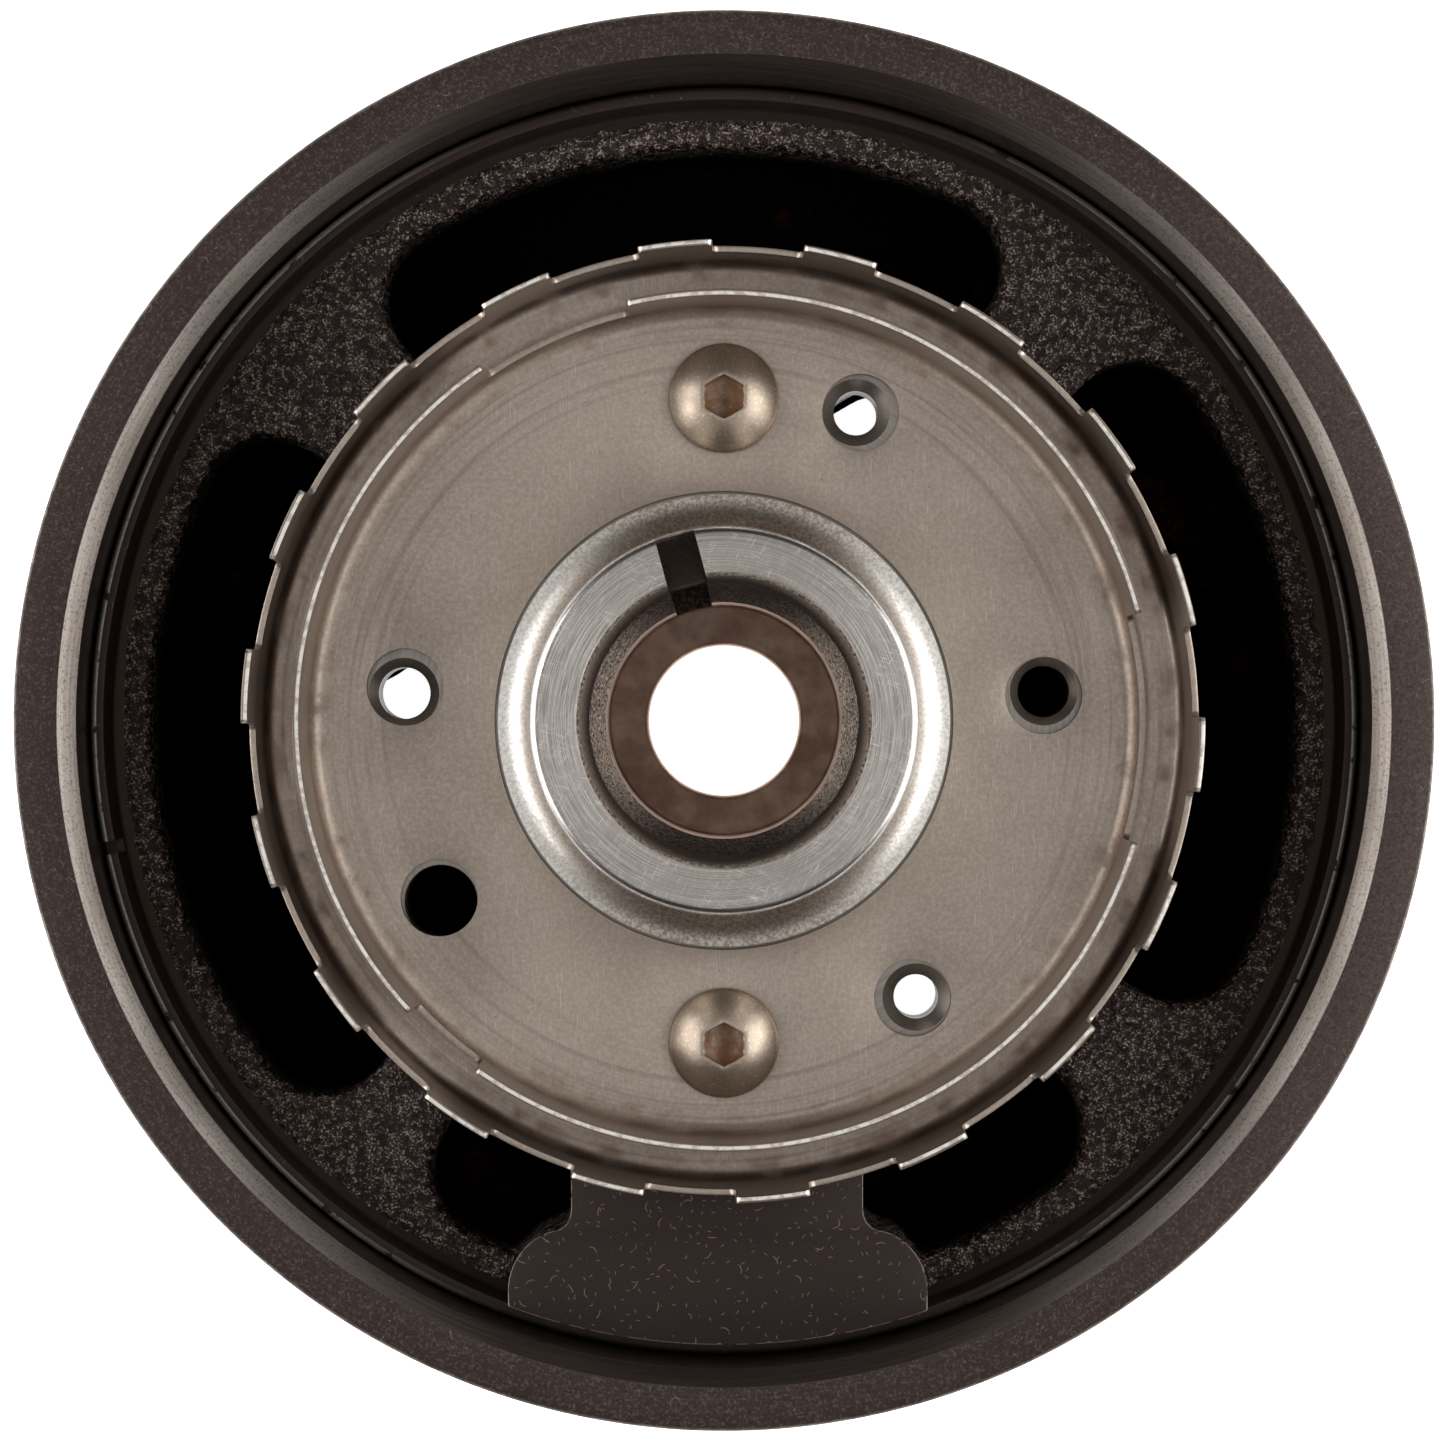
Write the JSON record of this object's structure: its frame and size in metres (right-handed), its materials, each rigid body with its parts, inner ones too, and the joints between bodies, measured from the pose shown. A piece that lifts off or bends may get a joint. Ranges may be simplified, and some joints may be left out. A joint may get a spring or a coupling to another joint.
{
  "type": "crankshaft damper pulley",
  "caption": "Crankshaft vibration damper and belt pulley: cast hub, rubber ring, grooved inertia ring and nested sensor vane rings.",
  "frame": {"origin": "on the shaft axis at the inertia ring's front face, which the part lies on", "axes": "+Z along the shaft axis towards the engine; +Y towards the upper ring screw, opposite the counterweight pad"},
  "size_m": [0.182, 0.182, 0.084],
  "materials": {
    "cast_hub": "black painted casting with bright machined nose",
    "rubber": "matte moulded rubber",
    "painted_ring": "satin black paint over turned iron, bare chamfer",
    "sheet_steel": "bare pressed sheet, satin",
    "screw_steel": "bare steel with a little rust"
  },
  "bodies": {
    "hub": {"hub_nose": "cast_hub", "hub_seat_plate": "cast_hub", "hub_segment": "cast_hub", "hub_pillar_right": "cast_hub", "hub_pillar_left": "cast_hub", "hub_pillar_bottom": "cast_hub", "hub_inner_wall": "cast_hub", "hub_web": "cast_hub", "hub_rim": "cast_hub", "rubber_ring": "rubber", "outer_vane_ring": "sheet_steel", "inner_vane_ring": "sheet_steel", "ring_screw_top": "screw_steel", "ring_screw_bottom": "screw_steel"},
    "inertia_ring": {"inertia_ring": "painted_ring"}
  },
  "joints": [
    {"name": "ring_twist", "type": "hinge", "parent": "hub", "child": "inertia_ring", "pos_m": [0, 0, 0.029], "axis": [0, 0, 1], "range_deg": [-1, 1], "stiffness_Nm_per_rad": 1500}
  ]
}
